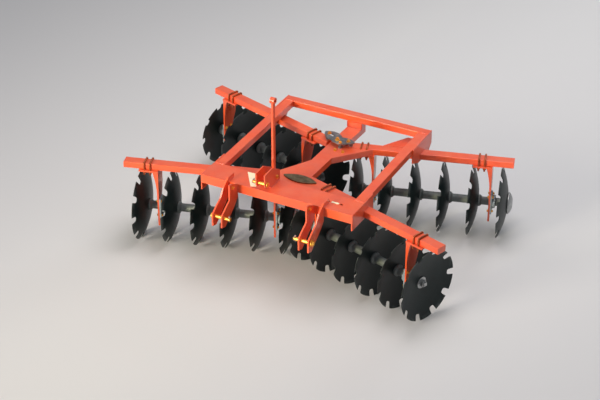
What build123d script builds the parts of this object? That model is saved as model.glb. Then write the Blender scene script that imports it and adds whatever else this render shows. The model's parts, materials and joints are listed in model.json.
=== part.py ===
from build123d import *
import math
import os

# Mounted tandem disc harrow: four gangs of notched discs in an X under a rectangular frame.
# Millimetres. Origin on the floor under the middle of the whole machine, +Z up.
# The hitch faces -Y, and +X is the right side seen from the hitch.

# Frame
FRAME_LEN = 1371.0
FRAME_HALF = 624.0
MEMBER_W = 75.0
MEMBER_H = 56.0
MEMBER_R = 6.0
FRONT_RISE = 68.0
REAR_RISE = 108.0
FRONT_Y = -708.3

# Front crossbar, an inverted channel with a deck on top
DECK_DEPTH = 206.0
LIP_H = 72.0
CHANNEL_T = 8.0

# Gangs: the outer disc's rim centre, measured from the middle plane and from the frame's ends
GANG_ANGLE = 17.0
FRONT_GANG_X = 1217.0
FRONT_GANG_IN = 55.0
REAR_GANG_X = 1222.0
REAR_GANG_OUT = 12.0
DISC_COUNT = 6
DISC_PITCH = 229.0
DISC_R = 280.0
DISC_T = 6.0
DISC_DISH = 62.0
DISC_FLAT_R = 50.0
DISC_BENDS = (132.0, 210.0)
NOTCHES = 10
NOTCH_W = 46.0
NOTCH_DEPTH = 46.0
NOTCH_CORNER = 15.0

# Gang beams
BEAM_W = 84.0
BEAM_H = 50.0
BEAM_R = 5.0
BEAM_OVER = 331.0
FRONT_BEAM_OUT = 115.0
REAR_BEAM_OUT = 95.0

# Plates
PLATE_T = 8.0
SIDE_T = 10.0
SIDE_LEN = 341.0
SIDE_DROP = 13.0
SIDE_SHOULDER = 25.0
FRONT_SIDE_LIFT = 26.0
REAR_SIDE_LIFT = 42.0
REAR_SIDE_CUT = 62.0
REAR_SIDE_CUT_RISE = 66.0
GUSSET_INNER_X = 324.0
GUSSET_OUTER_X = 440.0
GUSSET_IN = 10.0
SLOT_W = 18.0
SLOT_IN = 101.0
LONG_SLOT_X = 384.0
LONG_SLOT_LEN = 38.0
SHORT_SLOT_X = 497.0
SHORT_SLOT_LEN = 22.0
FIT_GAP = 0.3

# Centre beam, widened at the front left and at the rear right
TRUNK_HALF = 62.0
TRUNK_GAP = 5.0
FRONT_FLARE_W = 153.0
FRONT_FLARE_LEN = 234.0
REAR_FLARE_W = 221.0
REAR_FLARE_LEN = 204.0

# Lens-shaped joint plates over the beams' inner ends; the rear pair stands on spacers
LENS_HALF = 140.0
LENS_T = 10.0
FRONT_LENS_DEPTH = 50.0
FRONT_LENS_SHIFT = 10.0
FRONT_LENS_AHEAD = 40.0
REAR_LENS_HALF = 98.0
REAR_LENS_DEPTH = 50.0
REAR_LENS_TURN = 10.0
REAR_LENS_X = 46.0
REAR_LENS_AHEAD = 30.0
TAIL_LENS_DEPTH = 56.0
TAIL_LENS_TURN = 24.0
TAIL_LENS_X = 62.0
TAIL_LENS_BEHIND = 26.0
TAIL_HOLE_LEN = 58.0
TAIL_HOLE_W = 24.0
TAIL_HOLE_OFF = 22.0
SPACER_H = 24.0
SPACER_R = 15.0
HUB_SPACER_R = 28.0
SPACER_OUT = 106.0
POST_R = 9.0
POST_FOOT_R = 18.0
POST_FOOT_H = 12.0
POST_X = 46.0
POST_AHEAD = 38.0

# Gang axle, spools and bearings
AXLE_SIDE = 28.0
SPOOL_R = 32.0
SPOOL_FLARE_R = 46.0
SPOOL_FLARE_T = 12.0
BEARING_R = 52.0
BEARING_LEN = 34.0
FLANGE_T = 12.0
FLANGE_HALF = 84.0
NUT_R = 27.0
NUT_T = 24.0
WASHER_R = 45.0
WASHER_T = 8.0
END_CAP_R = 86.0
END_CAP_RIM = 6.0
END_CAP_DEPTH = 34.0
END_CAP_TOP_R = 14.0
AXLE_END = 12.0

# Hangers and clamps
LEG_T = 14.0
LEG_FRONT = 58.0
LEG_TOP_W = 125.0
LEG_LOW_W = 16.0
LEG_DROP = 150.0
LEG_SHOULDER = 128.0
LEG_HOLE_GAP = 4.0
RIB_T = 12.0
RIB_W = 30.0
RIB_DROP = 165.0
RIB_BOW = (15.0, 58.0)
FOOT_LEN = 150.0
FOOT_T = 12.0
FOOT_W = 124.0
CLAMP_ROD_R = 7.0
CLAMP_HOLE_GAP = 0.5
CLAMP_TAIL = 16.0
CLAMP_NUT_R = 12.5
CLAMP_NUT_T = 14.0
CLAMP_PITCH = 46.0
CLAMP_SHIFT = 78.0

# Hitch
HITCH_MID_X = 359.5
HITCH_PAIR_GAP = 65.0
HITCH_T = 12.0
HITCH_REACH = 198.0
HITCH_DROP = 191.0
HITCH_NOSE = 37.0
HITCH_TIP_DROP = 66.0
HITCH_TOE_DROP = 78.0
HITCH_TOE_IN = 8.0
HITCH_CHEEK = 32.0
HITCH_BROW_IN = 28.0
HITCH_BROW_RISE = 76.0
HITCH_BEND_IN = 81.0
HITCH_BEND_RISE = 108.0
HITCH_CALF_IN = 84.0
HITCH_CALF_DROP = 20.0
HITCH_KNEE_IN = 150.0
HITCH_KNEE_RISE = 30.0
HITCH_HEEL_DROP = 112.0
HITCH_HORN_RISE = 44.0
HITCH_HORN_RUN = 30.0
HITCH_CHEST_AHEAD = 70.0
HITCH_CHEST_DROP = 14.0
HITCH_DECK_RUN = 80.0
HITCH_DECK_RISE = 36.0
HITCH_PIN_R = 14.0
HITCH_PIN_IN = 51.0
HITCH_PIN_OUT = 25.0
PIN_GAP = 0.05
PIN_SHOULDER = 1.0
PIN_NECK = 3.0

# Top link ears, their pin and the mast
EAR_X = (-149.0, -76.0)
EAR_T = 10.0
EAR_RISE = 144.0
EAR_OVERHANG = 19.0
EAR_TIP_H = 35.0
EAR_TOP_LEN = 113.0
EAR_TOP_RISE = 152.0
EAR_REAR_RISE = 89.0
EAR_FOOT_LEN = 140.0
EAR_BOSS_R = 27.0
EAR_PIN_IN = 10.0
EAR_PIN_RISE = 56.0
EAR_PIN_R = 12.0
EAR_PIN_LEFT = 37.0
EAR_PIN_RIGHT = 11.0
MAST_X = -97.5
MAST_T = 16.0
MAST_W = 32.0
MAST_PIVOT_IN = 158.0
MAST_PIVOT_RISE = 48.0
MAST_LEN = 628.0
MAST_BORE_R = 12.75
MAST_HEAD_R = 24.0
MAST_HEAD_T = 36.0
MAST_BOLT_R = 10.0
MAST_BOLT_HEAD_R = 16.0
MAST_BOLT_HEAD_T = 8.0

# Places that follow from the sizes above
TAN = math.tan(math.radians(GANG_ANGLE))
COS = math.cos(math.radians(GANG_ANGLE))
AXLE_Z = DISC_R
BEAM_LOW = AXLE_Z + BEAM_OVER
BEAM_TOP = BEAM_LOW + BEAM_H
FRONT_TOP = BEAM_TOP + FRONT_RISE
REAR_TOP = BEAM_TOP + REAR_RISE
REAR_Y = FRONT_Y + FRAME_LEN
DECK_REAR = FRONT_Y + DECK_DEPTH
REAR_BAR_Y = REAR_Y - MEMBER_W
FRONT_GANG_Y = FRONT_Y + FRONT_GANG_IN
REAR_GANG_Y = REAR_Y + REAR_GANG_OUT
SIDE_LOW = BEAM_LOW - SIDE_DROP
FOOT_LOW = BEAM_LOW - FOOT_T
CLAMP_Y = BEAM_W / 2 + CLAMP_ROD_R + FIT_GAP
CLAMP_BEND = BEAM_R + CLAMP_ROD_R
HITCH_PIN_Y = FRONT_Y - HITCH_REACH
HITCH_PIN_Z = FRONT_TOP - HITCH_DROP
HITCH_X = (HITCH_MID_X - (HITCH_PAIR_GAP + HITCH_T) / 2, HITCH_MID_X + (HITCH_PAIR_GAP + HITCH_T) / 2)
EAR_PIN_Y = FRONT_Y + EAR_PIN_IN
EAR_PIN_Z = FRONT_TOP + EAR_PIN_RISE
MAST_PIVOT_Y = FRONT_Y + MAST_PIVOT_IN
MAST_PIVOT_Z = FRONT_TOP + MAST_PIVOT_RISE
MAST_TOP_Z = MAST_PIVOT_Z + MAST_LEN

# Gangs by name: x and y of the outer disc's rim centre on the right side, turn about Z,
# 1 where the hollow side of the discs faces outward, whether the gang is mirrored to the left,
# the beam's length beyond the rim centre, and the hangers' place outward of the middle between discs
GANGS = [
    # name, x, y, turn, hollow_out, mirrored, beam_out, hanger_shift
    ("front_right", FRONT_GANG_X, FRONT_GANG_Y, -GANG_ANGLE, 1, False, FRONT_BEAM_OUT, 15.0),
    ("front_left", FRONT_GANG_X, FRONT_GANG_Y, -GANG_ANGLE, 1, True, FRONT_BEAM_OUT, 25.0),
    ("rear_right", REAR_GANG_X, REAR_GANG_Y, GANG_ANGLE, -1, False, REAR_BEAM_OUT, -20.0),
    ("rear_left", REAR_GANG_X, REAR_GANG_Y, GANG_ANGLE, -1, True, REAR_BEAM_OUT, 28.0),
]


def box(x0, x1, y0, y1, z0, z1):
    """A box from its lowest to its highest corner."""
    return Pos((x0 + x1) / 2, (y0 + y1) / 2, (z0 + z1) / 2) * Box(x1 - x0, y1 - y0, z1 - z0)


def flat(points, z0, z1):
    """A plate of the given plan outline between two heights."""
    face = make_face(Polyline(points, close=True))
    return Pos(0, 0, z0) * extrude(face, z1 - z0, dir=(0, 0, 1))


def upright(points, x0, x1):
    """A plate in the YZ plane with the given outline of (y, z) points."""
    face = make_face(Polyline([(0, y, z) for y, z in points], close=True))
    return Pos(x0, 0, 0) * extrude(face, x1 - x0, dir=(1, 0, 0))


def rod_x(x0, x1, y, z, r):
    """A round bar along X."""
    return Pos((x0 + x1) / 2, y, z) * Rot(0, 90, 0) * Cylinder(r, x1 - x0)


def rod_z(z0, z1, x, y, r):
    """A round bar along Z."""
    return Pos(x, y, (z0 + z1) / 2) * Cylinder(r, z1 - z0)


def place(shape, x, y, turn, mirrored):
    """A gang's piece from its own frame to the machine: X outward, Y rearward, Z up."""
    shape = Pos(x, y, 0) * Rot(0, 0, turn) * shape
    if mirrored:
        shape = mirror(shape, Plane.YZ)
    return shape


def place_turned(shape, x, y, turn, mirrored):
    """The same for a piece that is alike to the front and to the rear of its gang's axis."""
    if mirrored:
        return Pos(-x, y, 0) * Rot(0, 0, 180 - turn) * shape
    return Pos(x, y, 0) * Rot(0, 0, turn) * shape


def solids_of(shapes):
    """One compound of the separate solids of a node."""
    found = []
    for shape in shapes:
        found.extend(shape.solids())
    return Compound(children=found) if len(found) > 1 else found[0]


def front_axis_y(x):
    """The front gang beams' middle line at a given distance from the middle plane."""
    return FRONT_GANG_Y + (FRONT_GANG_X - abs(x)) * TAN


def rear_axis_y(x):
    """The rear gang beams' middle line at a given distance from the middle plane."""
    return REAR_GANG_Y - (REAR_GANG_X - abs(x)) * TAN


def beam_in(x):
    """How far a gang beam runs inward from the outer rim centre at distance x."""
    return (x - TRUNK_HALF - TRUNK_GAP) / COS - BEAM_W / 2 * TAN


def side_top(y):
    """Height of the side members' top at a place along the machine."""
    slope = (REAR_TOP - FRONT_TOP) / (REAR_BAR_Y - DECK_REAR)
    return min(max(FRONT_TOP + (y - DECK_REAR) * slope, FRONT_TOP), REAR_TOP)


# Frame members
def side_member(sign):
    """A side member, sloping up from the deck to the rear crossbar."""
    outline = [(DECK_REAR, FRONT_TOP - MEMBER_H), (REAR_BAR_Y, REAR_TOP - MEMBER_H),
               (REAR_BAR_Y, REAR_TOP), (DECK_REAR, FRONT_TOP)]
    bar = upright(outline, FRAME_HALF - MEMBER_W, FRAME_HALF)
    long_edges = [e for e in bar.edges() if e.length > (REAR_BAR_Y - DECK_REAR) * 0.9]
    bar = fillet(long_edges, MEMBER_R)
    return bar if sign > 0 else mirror(bar, Plane.YZ)


def rear_crossbar():
    bar = box(-FRAME_HALF, FRAME_HALF, REAR_BAR_Y, REAR_Y, REAR_TOP - MEMBER_H, REAR_TOP)
    return fillet([e for e in bar.edges() if e.length > FRAME_HALF], MEMBER_R)


def front_crossbar():
    """The inverted channel at the hitch end; its back stands on the plate below."""
    deck = box(-FRAME_HALF, FRAME_HALF, FRONT_Y, DECK_REAR, FRONT_TOP - CHANNEL_T, FRONT_TOP)
    front = box(-FRAME_HALF, FRAME_HALF, FRONT_Y, FRONT_Y + CHANNEL_T, FRONT_TOP - LIP_H, FRONT_TOP)
    back = box(-FRAME_HALF, FRAME_HALF, DECK_REAR - CHANNEL_T, DECK_REAR,
               BEAM_TOP + PLATE_T, FRONT_TOP)
    channel = deck + front + back
    y = FRONT_Y + SLOT_IN
    for x, length in ((LONG_SLOT_X, LONG_SLOT_LEN), (SHORT_SLOT_X, SHORT_SLOT_LEN)):
        slot = box(x - length / 2, x + length / 2, y - SLOT_W / 2, y + SLOT_W / 2,
                   FRONT_TOP - 2 * CHANNEL_T, FRONT_TOP + CHANNEL_T)
        channel = channel - slot
    return channel


def front_top_plate():
    """The plate that lies on both front gang beams and carries the front crossbar."""
    half = BEAM_W / 2 / COS
    rear_at_side = front_axis_y(FRAME_HALF) + half
    rear_at_middle = front_axis_y(TRUNK_HALF) + half
    y0 = FRONT_Y + CHANNEL_T
    outline = [(-FRAME_HALF, y0), (FRAME_HALF, y0), (FRAME_HALF, rear_at_side),
               (TRUNK_HALF, rear_at_middle), (-TRUNK_HALF, rear_at_middle),
               (-FRAME_HALF, rear_at_side)]
    plate = flat(outline, BEAM_TOP, BEAM_TOP + PLATE_T)
    return cut_clamp_holes(plate, 1, BEAM_TOP, BEAM_TOP + PLATE_T)


def cut_clamp_holes(shape, on_side, z0, z1):
    """Holes for the inner U-bolts of the front gangs (on_side 1) or of the rear gangs (-1)."""
    for name, x, y, turn, hollow_out, mirrored, beam_out, hanger_shift in GANGS:
        if hollow_out == on_side:
            for u in clamp_places(hollow_out, hanger_shift)[2:]:
                for v in (-CLAMP_Y, CLAMP_Y):
                    hole = rod_z(z0 - 1, z1 + 1, u, v, CLAMP_ROD_R + CLAMP_HOLE_GAP)
                    shape = shape - place(hole, x, y, turn, mirrored)
    return shape


def centre_beam():
    """The lengthwise beam between the gang beams' inner ends, and its riser under the rear bar."""
    y0 = front_axis_y(TRUNK_HALF) - BEAM_W / 2
    beam = box(-TRUNK_HALF, TRUNK_HALF, y0, REAR_Y, BEAM_LOW, BEAM_TOP)
    riser = box(-TRUNK_HALF, TRUNK_HALF, REAR_BAR_Y, REAR_Y, BEAM_TOP, REAR_TOP - MEMBER_H)
    half = BEAM_W / 2 / COS + FIT_GAP
    y1 = front_axis_y(TRUNK_HALF) + half
    tip = TRUNK_HALF + FRONT_FLARE_W
    front_flare = [(-TRUNK_HALF, y1), (-TRUNK_HALF, y1 + FRONT_FLARE_LEN), (-tip, front_axis_y(tip) + half)]
    y2 = rear_axis_y(TRUNK_HALF) - half
    tip = TRUNK_HALF + REAR_FLARE_W
    rear_flare = [(TRUNK_HALF, y2), (TRUNK_HALF, y2 - REAR_FLARE_LEN), (tip, rear_axis_y(tip) - half)]
    whole = beam + riser + flat(front_flare, BEAM_LOW, BEAM_TOP) + flat(rear_flare, BEAM_LOW, BEAM_TOP)
    return cut_clamp_holes(whole, -1, BEAM_LOW, BEAM_TOP)


def side_plates(outline, mid):
    """A pair of upright plates with windows that the gang beams pass through."""
    half = BEAM_W / 2 / COS + SIDE_T / 2 * TAN + FIT_GAP
    plate = upright(outline, FRAME_HALF, FRAME_HALF + SIDE_T)
    plate = plate - box(FRAME_HALF - 1, FRAME_HALF + SIDE_T + 1, mid - half, mid + half,
                        BEAM_LOW - FIT_GAP, BEAM_TOP + FIT_GAP)
    return [plate, mirror(plate, Plane.YZ)]


def side_plates_front():
    """The upright plates at the front corners."""
    mid = front_axis_y(FRAME_HALF + SIDE_T / 2)
    y1 = FRONT_Y + SIDE_LEN
    outline = [(FRONT_Y, SIDE_LOW), (mid + BEAM_W / 2 + SIDE_SHOULDER, SIDE_LOW),
               (y1, SIDE_LOW + FRONT_SIDE_LIFT),
               (y1, side_top(y1)), (DECK_REAR, FRONT_TOP), (FRONT_Y, FRONT_TOP)]
    return side_plates(outline, mid)


def side_plates_rear():
    """The upright plates at the rear corners, which lift the frame above the gang beams."""
    mid = rear_axis_y(FRAME_HALF + SIDE_T / 2)
    y0 = REAR_Y - SIDE_LEN
    outline = [(y0, SIDE_LOW + REAR_SIDE_LIFT), (mid - BEAM_W / 2 - SIDE_SHOULDER, SIDE_LOW),
               (REAR_Y - REAR_SIDE_CUT, SIDE_LOW), (REAR_Y, SIDE_LOW + REAR_SIDE_CUT_RISE),
               (REAR_Y, REAR_TOP), (REAR_BAR_Y, REAR_TOP),
               (y0, side_top(y0))]
    return side_plates(outline, mid)


def rear_gusset():
    """The flat gusset between the rear right gang beam and the corner."""
    half = BEAM_W / 2 / COS
    rear = REAR_Y - GUSSET_IN
    outline = [(GUSSET_INNER_X, rear_axis_y(GUSSET_INNER_X) + half), (GUSSET_OUTER_X, rear),
               (FRAME_HALF, rear), (FRAME_HALF, rear_axis_y(FRAME_HALF) + half)]
    return flat(outline, BEAM_TOP - PLATE_T, BEAM_TOP)


def lens(half, depth):
    """A lens-shaped plate about the origin, standing on z = 0."""
    edge = [ThreePointArc((-half, 0), (0, -depth), (half, 0)),
            ThreePointArc((half, 0), (0, depth), (-half, 0))]
    return extrude(make_face(edge), LENS_T, dir=(0, 0, 1))


def front_lens_plate():
    """The joint plate that lies over the front gang beams' inner ends."""
    y = front_axis_y(TRUNK_HALF) - FRONT_LENS_AHEAD
    return Pos(FRONT_LENS_SHIFT, y, BEAM_TOP + PLATE_T) * lens(LENS_HALF, FRONT_LENS_DEPTH)


def rear_lens_plates():
    """Two joint plates, one on the other, on spacers over the rear gang beams' inner ends."""
    y = rear_axis_y(TRUNK_HALF) - REAR_LENS_AHEAD
    low, mid = BEAM_TOP + SPACER_H, BEAM_TOP + SPACER_H + LENS_T
    hole = Pos(-TAIL_HOLE_OFF, 0, LENS_T / 2) * Box(TAIL_HOLE_LEN, TAIL_HOLE_W, 2 * LENS_T)
    tail = lens(REAR_LENS_HALF, TAIL_LENS_DEPTH) - hole
    tail_y = rear_axis_y(TRUNK_HALF) + TAIL_LENS_BEHIND
    tail = Pos(-TAIL_LENS_X, tail_y, low) * Rot(0, 0, -TAIL_LENS_TURN) * tail
    upper = Pos(REAR_LENS_X, y, mid) * Rot(0, 0, REAR_LENS_TURN) * lens(REAR_LENS_HALF, REAR_LENS_DEPTH)
    hub = rod_z(BEAM_TOP, low, 0, rear_axis_y(TRUNK_HALF), HUB_SPACER_R)
    right = rod_z(BEAM_TOP, mid, SPACER_OUT, rear_axis_y(SPACER_OUT) - REAR_LENS_AHEAD / 2, SPACER_R)
    left = rod_z(BEAM_TOP, low, -SPACER_OUT, rear_axis_y(SPACER_OUT), SPACER_R)
    post_y = y - POST_AHEAD
    post = rod_z(BEAM_TOP, mid, POST_X, post_y, POST_R)
    foot = Pos(POST_X, post_y, BEAM_TOP) * extrude(RegularPolygon(POST_FOOT_R, 6), POST_FOOT_H)
    return tail + upper + hub + right + left + post + foot


# Gangs
def gang_beam(x, y, turn, mirrored, beam_out):
    beam = box(-beam_in(x), beam_out, -BEAM_W / 2, BEAM_W / 2, BEAM_LOW, BEAM_TOP)
    beam = fillet([e for e in beam.edges() if e.length > 5 * BEAM_W], BEAM_R)
    return place(beam, x, y, turn, mirrored)


def disc():
    """A notched dished disc about Z, its hub plate's hollow side at z = 0 and its rim above."""
    radii = (DISC_FLAT_R, *DISC_BENDS, DISC_R)
    hollow = [(r, dish_height(r)) for r in radii]
    crown = [(r, z - DISC_T) for r, z in reversed(hollow)]
    outline = [(0, 0), *hollow, *crown, (0, -DISC_T)]
    body = revolve(Plane.XZ * make_face(Polyline(outline, close=True)), Axis.Z, 360)
    bore = AXLE_SIDE + 2 * FIT_GAP
    cuts = [Box(bore, bore, 4 * DISC_T)]
    half, floor, corner = NOTCH_W / 2, DISC_R - NOTCH_DEPTH, NOTCH_CORNER
    notch = [(2 * DISC_R - floor, -half), (floor + corner, -half), (floor, corner - half),
             (floor, half - corner), (floor + corner, half), (2 * DISC_R - floor, half)]
    for i in range(NOTCHES):
        cuts.append(Rot(0, 0, 360 / NOTCHES * (i + 0.5)) * flat(notch, -DISC_DISH, 2 * DISC_DISH))
    return body - cuts


def dish_height(r):
    """How far the hollow side of a disc rises above its hub plate at a radius."""
    return DISC_DISH * (r ** 2 - DISC_FLAT_R ** 2) / (DISC_R ** 2 - DISC_FLAT_R ** 2)


def hub_x(i, hollow_out):
    """Place along the gang's axis of disc i's hub plate, i = 0 at the outer end."""
    return -DISC_PITCH * i - DISC_DISH * hollow_out


def spool(length):
    """A cast spool between two discs: a tube with a flared flange at each end."""
    half = length / 2
    flare = SPOOL_FLARE_T * 2.2
    bore = AXLE_SIDE * math.sqrt(0.5) + FIT_GAP
    outline = [(bore, -half), (SPOOL_FLARE_R, -half), (SPOOL_FLARE_R, -half + SPOOL_FLARE_T),
               (SPOOL_R, -half + flare), (SPOOL_R, half - flare), (SPOOL_FLARE_R, half - SPOOL_FLARE_T),
               (SPOOL_FLARE_R, half), (bore, half)]
    face = Plane.XZ * make_face(Polyline(outline, close=True))
    return revolve(face, Axis.Z, 360)


def hub_faces(i, hollow_out):
    """The inner and the outer face of disc i's hub plate along the gang's axis."""
    x = hub_x(i, hollow_out)
    return min(x, x - DISC_T * hollow_out), max(x, x - DISC_T * hollow_out)


def hexagon(x0, x1, r):
    return Pos(x0, 0, AXLE_Z) * extrude(Plane.YZ * RegularPolygon(r, 6), x1 - x0, dir=(1, 0, 0))


def flat_end(x, way):
    """Washer and nut against the hollow side of an end disc."""
    washer = Pos(x, 0, AXLE_Z) * Rot(0, 90 * way, 0) * Cylinder(WASHER_R, WASHER_T, align=LOW)
    x0 = x + way * WASHER_T
    x1 = x0 + way * NUT_T
    return washer + hexagon(min(x0, x1), max(x0, x1), NUT_R)


def domed_end(x, way):
    """The domed end washer against the crown of an end disc."""
    side, top = (END_CAP_R, END_CAP_RIM), (END_CAP_TOP_R, END_CAP_DEPTH)
    rise = END_CAP_DEPTH - END_CAP_RIM
    bow = ((side[0] + top[0]) / 2 + rise / 4, (side[1] + top[1]) / 2 + rise / 4)
    outline = [Polyline((0, END_CAP_DEPTH), (0, 0), (END_CAP_R, 0), side), ThreePointArc(side, bow, top),
               Line(top, (0, END_CAP_DEPTH))]
    dome = revolve(Plane.XZ * make_face(outline), Axis.Z, 360)
    return Pos(x, 0, AXLE_Z) * Rot(0, 90 * way, 0) * dome


LOW = (Align.CENTER, Align.CENTER, Align.MIN)


def axle(hollow_out):
    """The square gang bolt with what holds the discs on it at either end."""
    inner_end = hub_faces(DISC_COUNT - 1, hollow_out)[0]
    outer_end = hub_faces(0, hollow_out)[1]
    over, under_dome = WASHER_T + NUT_T + AXLE_END, END_CAP_RIM
    half = AXLE_SIDE / 2
    inner, outer = (under_dome, over) if hollow_out > 0 else (over, under_dome)
    bar = box(inner_end - inner, outer_end + outer, -half, half, AXLE_Z - half, AXLE_Z + half)
    if hollow_out > 0:
        return bar + flat_end(outer_end, 1) + domed_end(inner_end, -1)
    return bar + domed_end(outer_end, 1) + flat_end(inner_end, -1)


def hanger_places(hollow_out, shift):
    """Where the two hangers stand: outward by shift of the middle between two hubs at either end."""
    first = (hub_x(0, hollow_out) + hub_x(1, hollow_out)) / 2
    last = (hub_x(DISC_COUNT - 2, hollow_out) + hub_x(DISC_COUNT - 1, hollow_out)) / 2
    return [first + shift, last + shift]


def clamp_places(hollow_out, shift):
    """Where the four U-bolts of a gang cross the beam, the outer pair first."""
    places = []
    for x in hanger_places(hollow_out, shift):
        for dx in (-CLAMP_PITCH / 2, CLAMP_PITCH / 2):
            places.append(x + hollow_out * CLAMP_SHIFT + dx)
    return places


def hanger(x, way):
    """A tapered leg across the gang with a foot under the beam; way is +1 with the foot outward."""
    leg_rear = LEG_TOP_W - LEG_FRONT
    outline = [(-LEG_FRONT, AXLE_Z - LEG_DROP), (-LEG_FRONT + LEG_LOW_W, AXLE_Z - LEG_DROP),
               (leg_rear, FOOT_LOW - LEG_SHOULDER), (leg_rear, FOOT_LOW), (-LEG_FRONT, FOOT_LOW)]
    leg = upright(outline, x - LEG_T / 2, x + LEG_T / 2)
    leg = leg - rod_x(x - LEG_T, x + LEG_T, 0, AXLE_Z, SPOOL_R + LEG_HOLE_GAP)
    x0 = x - LEG_T / 2 if way > 0 else x + LEG_T / 2 - FOOT_LEN
    low = FOOT_LOW - RIB_DROP
    bow = (RIB_BOW[0], FOOT_LOW - RIB_BOW[1])
    edge = [Line((0, low), (0, FOOT_LOW)), Line((0, FOOT_LOW), (RIB_W, FOOT_LOW)),
            ThreePointArc((RIB_W, FOOT_LOW), bow, (0, low))]
    rib = extrude(Plane.XZ * make_face(edge), RIB_T, dir=(0, 1, 0))
    rib = rib if way > 0 else mirror(rib, Plane.YZ)
    rib = Pos(x + way * LEG_T / 2, -LEG_FRONT, 0) * rib
    body = leg + box(x0, x0 + FOOT_LEN, -FOOT_W / 2, FOOT_W / 2, FOOT_LOW, BEAM_LOW) + rib
    mid = x + way * CLAMP_SHIFT
    for dx in (-CLAMP_PITCH / 2, CLAMP_PITCH / 2):
        for y in (-CLAMP_Y, CLAMP_Y):
            body = body - rod_z(FOOT_LOW - 1, BEAM_LOW + 1, mid + dx, y, CLAMP_ROD_R + CLAMP_HOLE_GAP)
    return body


def clamp(top):
    """A U-bolt across x = 0 with its two nuts under the hanger's foot; top is its bow's middle line."""
    low = FOOT_LOW - CLAMP_NUT_T - CLAMP_TAIL
    points = [(0, -CLAMP_Y, low), (0, -CLAMP_Y, top), (0, CLAMP_Y, top), (0, CLAMP_Y, low)]
    path = FilletPolyline(*points, radius=CLAMP_BEND)
    body = sweep(Pos(0, -CLAMP_Y, low) * Circle(CLAMP_ROD_R), path=path)
    nut = Pos(0, 0, FOOT_LOW - CLAMP_NUT_T) * extrude(RegularPolygon(CLAMP_NUT_R, 6), CLAMP_NUT_T)
    return body + Pos(0, -CLAMP_Y, 0) * nut + Pos(0, CLAMP_Y, 0) * nut


def housing(x, way):
    """A bearing housing round the spool, on the side of its leg that way says."""
    face = x + way * LEG_T / 2
    ends = sorted((face, face + way * BEARING_LEN))
    flange = sorted((face, face + way * FLANGE_T))
    body = rod_x(*ends, 0, AXLE_Z, BEARING_R)
    body = body + box(*flange, -LEG_FRONT, BEARING_R / 2, AXLE_Z - FLANGE_HALF, AXLE_Z + FLANGE_HALF)
    return body - rod_x(ends[0] - 1, ends[1] + 1, 0, AXLE_Z, SPOOL_R + FIT_GAP)


# Hitch
def hitch_outline(outer):
    """(y, z) outline of a cranked plate; the outer one of a pair climbs onto the deck."""
    nose = HITCH_PIN_Y - HITCH_NOSE
    low = [(FRONT_Y, FRONT_TOP - LIP_H), (FRONT_Y, FRONT_TOP - HITCH_HEEL_DROP),
           (HITCH_PIN_Y + HITCH_KNEE_IN, HITCH_PIN_Z + HITCH_KNEE_RISE),
           (HITCH_PIN_Y + HITCH_CALF_IN, HITCH_PIN_Z - HITCH_CALF_DROP),
           (HITCH_PIN_Y + HITCH_TOE_IN, HITCH_PIN_Z - HITCH_TOE_DROP), (nose, HITCH_PIN_Z - HITCH_TIP_DROP),
           (nose, HITCH_PIN_Z + HITCH_CHEEK), (HITCH_PIN_Y + HITCH_BROW_IN, HITCH_PIN_Z + HITCH_BROW_RISE),
           (HITCH_PIN_Y + HITCH_BEND_IN, HITCH_PIN_Z + HITCH_BEND_RISE)]
    if outer:
        return low + [(FRONT_Y - HITCH_CHEST_AHEAD, FRONT_TOP - HITCH_CHEST_DROP),
                      (FRONT_Y, FRONT_TOP + HITCH_DECK_RISE),
                      (FRONT_Y + HITCH_DECK_RUN, FRONT_TOP + HITCH_DECK_RISE),
                      (FRONT_Y + HITCH_DECK_RUN, FRONT_TOP), (FRONT_Y, FRONT_TOP)]
    return low + [(HITCH_PIN_Y + HITCH_BEND_IN, FRONT_TOP + HITCH_HORN_RISE),
                  (HITCH_PIN_Y + HITCH_BEND_IN + HITCH_HORN_RUN, FRONT_TOP + HITCH_HORN_RISE),
                  (FRONT_Y, FRONT_TOP)]


def hitch_plates():
    """The two pairs of cranked plates that hold the lower hitch pins."""
    plates = []
    for x in HITCH_X:
        plate = upright(hitch_outline(x == HITCH_X[1]), x - HITCH_T / 2, x + HITCH_T / 2)
        plate = plate - rod_x(x - HITCH_T, x + HITCH_T, HITCH_PIN_Y, HITCH_PIN_Z,
                              HITCH_PIN_R + PIN_SHOULDER + PIN_GAP)
        plates.extend([plate, mirror(plate, Plane.YZ)])
    return plates


def shouldered_pin(end, face, far_end, y, z, r):
    """A pin along X: its free end of radius r runs to a neck at face, and its thicker body on to far_end."""
    way = 1 if far_end > end else -1
    neck = face - way * PIN_NECK
    free = rod_x(*sorted((end, neck)), y, z, r)
    groove = rod_x(*sorted((neck, face)), y, z, r - PIN_SHOULDER)
    body = rod_x(*sorted((face, far_end)), y, z, r + PIN_SHOULDER)
    return free + groove + body


def hitch_pins():
    """A lower hitch pin through each pair of plates, its longer free end inward."""
    face = HITCH_X[0] - HITCH_T / 2
    pin = shouldered_pin(face - HITCH_PIN_IN, face, HITCH_X[1] + HITCH_T / 2 + HITCH_PIN_OUT,
                         HITCH_PIN_Y, HITCH_PIN_Z, HITCH_PIN_R)
    return [pin, mirror(pin, Plane.YZ)]


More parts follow.
